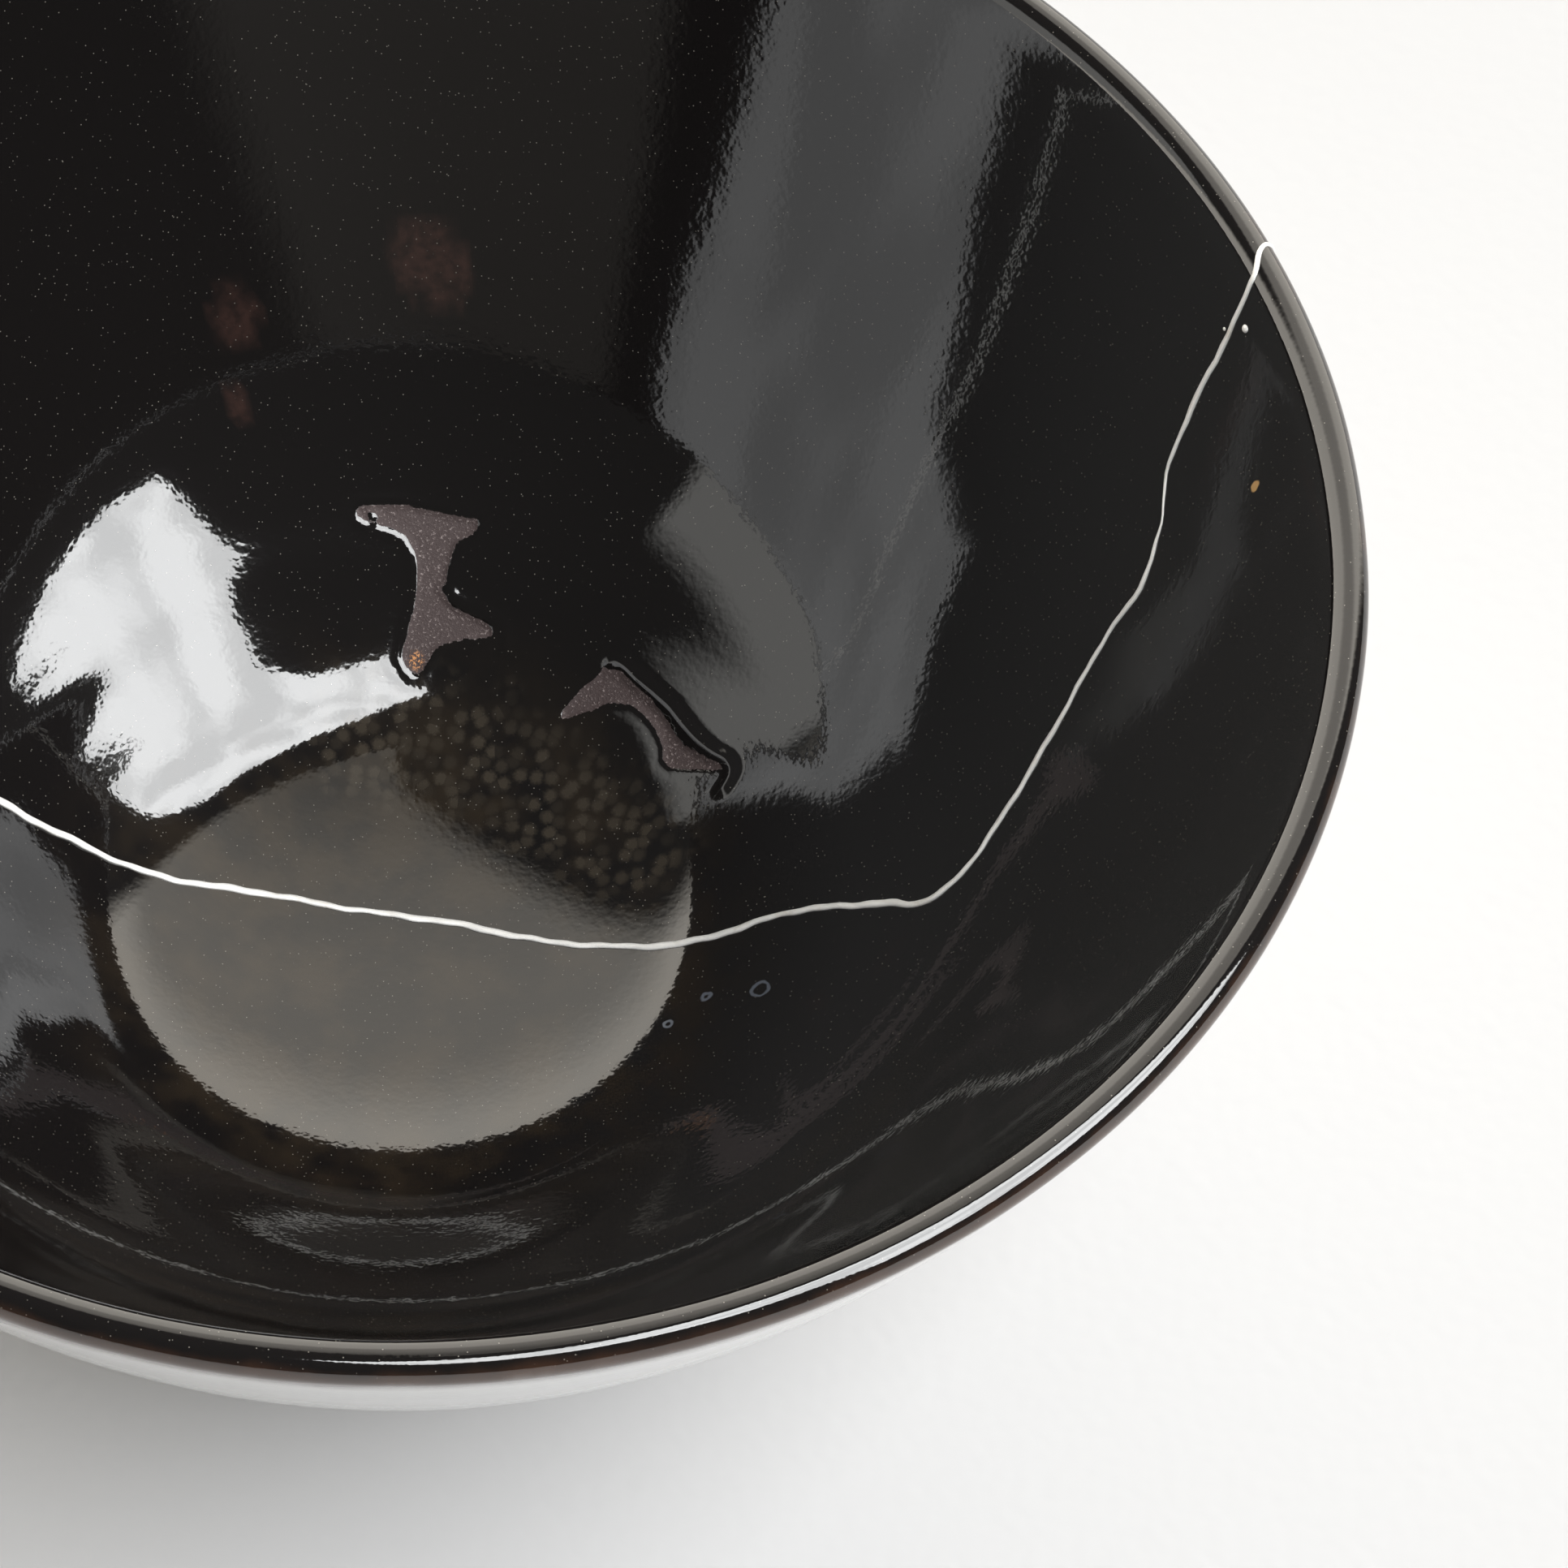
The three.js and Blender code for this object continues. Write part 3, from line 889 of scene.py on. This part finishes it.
def makeSilverMaterial(finish):
    material, m = newMaterial("rubbedSilver")
    place = m.add("ShaderNodeTexCoord").outputs["Object"]
    grain = m.noise(place, finish["grain"], 3, 0.6)
    wear = m.noise(place, finish["wear"], 4, 0.6)
    color = m.mixColor(m.ramp(wear, 0.55, 0.75), finish["bright"], finish["dull"])
    rough = m.mixValue(m.ramp(grain, 0.3, 0.7), *finish["roughness"])
    shader = m.add("ShaderNodeBsdfPrincipled")
    m.plug(shader, "Base Color", color)
    m.plug(shader, "Metallic", finish["metallic"])
    m.plug(shader, "Roughness", rough)
    m.plug(shader, "Normal", m.bump(grain, finish["grainHeight"]))
    output = m.add("ShaderNodeOutputMaterial")
    m.plug(output, "Surface", shader.outputs[0])
    return material


silver.data.materials.append(makeSilverMaterial(silverFinish))
print("silver finish made")


# Pale table
tableTop = {
    "size": 6000.0,
    "color": (0.53, 0.53, 0.535, 1),
    "roughness": 0.65,
    "grain": (1.4, 0.05),  # spacing, height
}


def makeTable(table):
    half = table["size"] / 2 * mm
    mesh = bpy.data.meshes.new("table_top")
    corners = [(-half, -half, 0), (half, -half, 0), (half, half, 0), (-half, half, 0)]
    mesh.from_pydata(corners, [], [(0, 1, 2, 3)])
    top = bpy.data.objects.new("table_top", mesh)
    bpy.context.scene.collection.objects.link(top)
    material, m = newMaterial("paleTable")
    place = m.add("ShaderNodeTexCoord").outputs["Object"]
    spacing, size = table["grain"]
    shader = m.add("ShaderNodeBsdfPrincipled")
    m.plug(shader, "Base Color", table["color"])
    m.plug(shader, "Roughness", table["roughness"])
    m.plug(shader, "Normal", m.bump(m.noise(place, spacing, 0), size))
    output = m.add("ShaderNodeOutputMaterial")
    m.plug(output, "Surface", shader.outputs[0])
    mesh.materials.append(material)


makeTable(tableTop)


# Studio light: a large soft window on the right, a bright wall on the far side, dim elsewhere.
# Directions are degrees round from the far side (+Y) towards the right (+X), and degrees up.
studioLight = {
    "window": {
        "around": 112.0,
        "up": 52.0,
        "distance": 1600.0,
        "color": (0.985, 0.995, 1.0, 1),
        "strength": 8.9,
        "veil": (300.0, 0.80, 1.06),  # spacing of its soft clouds, least and most brightness
        "corners": [  # right and up of the window's middle, as shares of the distance
            (-0.53, -0.26), (-0.28, -0.235), (-0.52, -0.30), (0.05, -0.42), (0.24, -0.40),
            (0.22, -0.08), (0.32, 0.08), (0.66, 0.30), (0.58, 0.54), (0.20, 0.47),
            (-0.12, 0.40), (-0.36, 0.33), (-0.47, 0.10),
        ],
    },
    "dim": 0.05,
    "farWall": {
        "leftEdge": (-65.0, 40.0, 1.45),  # degrees round at this many degrees up, and its lean
        "leftSoft": 9.0,  # half the width that the edge fades over, in degrees
        "rightEdge": 50.0,
        "rightSoft": 5.0,
        "low": (39.0, 2.35),  # degrees up, brightness there and below
        "middle": (52.0, 1.3),
        "top": (84.0, 0.5),
    },
    "leftPatch": {
        "left": -135.0,
        "right": -88.0,
        "top": 38.0,
        "sideSoft": 2.0,
        "topSoft": 4.0,
        "strength": 1.0,
    },
    "farTint": (1.0, 0.945, 0.85),
    "coolTint": (1.0, 0.99, 0.95),
}


# The window is a glowing card that the camera itself doesn't see
def makeWindow(window):
    around = math.radians(window["around"])
    up = math.radians(window["up"])
    direction = Vector((math.sin(around) * math.cos(up), math.cos(around) * math.cos(up), math.sin(up)))
    right = Vector((math.cos(around), -math.sin(around), 0))
    upward = right.cross(direction)
    middle = Vector((0, 0, photoView["target"][2]))
    distance = window["distance"]
    points = [(middle + (direction + right * x + upward * y) * distance) * mm for x, y in window["corners"]]
    mesh = bpy.data.meshes.new("windowPane1")
    mesh.from_pydata(points, [], [tuple(range(len(points)))])
    pane = bpy.data.objects.new("windowPane1", mesh)
    pane.visible_camera = False
    bpy.context.scene.collection.objects.link(pane)
    material, m = newMaterial("windowGlow1")
    glow = m.add("ShaderNodeEmission")
    m.plug(glow, "Color", window["color"])
    spacing, least, most = window["veil"]
    place = m.add("ShaderNodeTexCoord").outputs["Object"]
    veil = m.ramp(m.noise(place, spacing, 1), 0.38, 0.62, least, most)
    m.plug(glow, "Strength", m.math("MULTIPLY", veil, window["strength"]))
    output = m.add("ShaderNodeOutputMaterial")
    m.plug(output, "Surface", glow.outputs[0])
    mesh.materials.append(material)


def makeSurroundings(light):
    world = bpy.data.worlds.new("studio")
    world.use_nodes = True
    bpy.context.scene.world = world
    m = NodeMaker(world.node_tree)
    direction = m.add("ShaderNodeTexCoord").outputs["Generated"]
    split = m.add("ShaderNodeSeparateXYZ", i0=direction)
    around = m.math("DEGREES", m.math("ARCTAN2", split.outputs[0], split.outputs[1]))
    up = m.math("DEGREES", m.math("ARCSINE", split.outputs[2]))
    wall = light["farWall"]
    leftAt, leftUp, lean = wall["leftEdge"]
    leaning = m.math("SUBTRACT", around, m.math("MULTIPLY", m.math("SUBTRACT", up, leftUp), lean))
    fromLeft = m.ramp(leaning, leftAt - wall["leftSoft"], leftAt + wall["leftSoft"])
    rightAt = wall["rightEdge"]
    toRight = m.ramp(around, rightAt - wall["rightSoft"], rightAt + wall["rightSoft"], 1.0, 0.0)
    low, lowBright = wall["low"]
    middle, middleBright = wall["middle"]
    top, topBright = wall["top"]
    upward = m.math("MULTIPLY", m.ramp(up, low, middle, lowBright, middleBright),
                    m.ramp(up, middle, top, 1.0, topBright / middleBright))
    bright = m.math("MULTIPLY", m.math("MULTIPLY", fromLeft, toRight), upward)
    patch = light["leftPatch"]
    soft = patch["sideSoft"]
    fromLeft = m.ramp(around, patch["left"] - soft, patch["left"] + soft)
    toRight = m.ramp(around, patch["right"] - soft, patch["right"] + soft, 1.0, 0.0)
    soft = patch["topSoft"]
    below = m.ramp(up, patch["top"] - soft, patch["top"] + soft, patch["strength"], 0.0)
    patchBright = m.math("MULTIPLY", m.math("MULTIPLY", fromLeft, toRight), below)
    warm = m.tint(light["farTint"], bright)
    cool = m.math("MAXIMUM", patchBright, light["dim"])
    coolColor = m.tint(light["coolTint"], cool)
    total = m.add("ShaderNodeVectorMath", {"operation": "MAXIMUM"}, i0=warm, i1=coolColor).outputs[0]
    background = m.add("ShaderNodeBackground")
    m.plug(background, "Color", total)
    output = m.add("ShaderNodeOutputWorld")
    m.plug(output, "Surface", background.outputs[0])


makeWindow(studioLight["window"])
makeSurroundings(studioLight)
bpy.context.scene.view_settings.view_transform = "Standard"
# no light tree and no sky sampling: the window and soft surround are found without them, and sooner
bpy.context.scene.cycles.use_light_tree = False
bpy.context.scene.world.cycles.sampling_method = "NONE"
bpy.context.scene.cycles.max_bounces = 4
bpy.context.scene.cycles.diffuse_bounces = 2
bpy.context.scene.cycles.glossy_bounces = 3
print("table and light set")
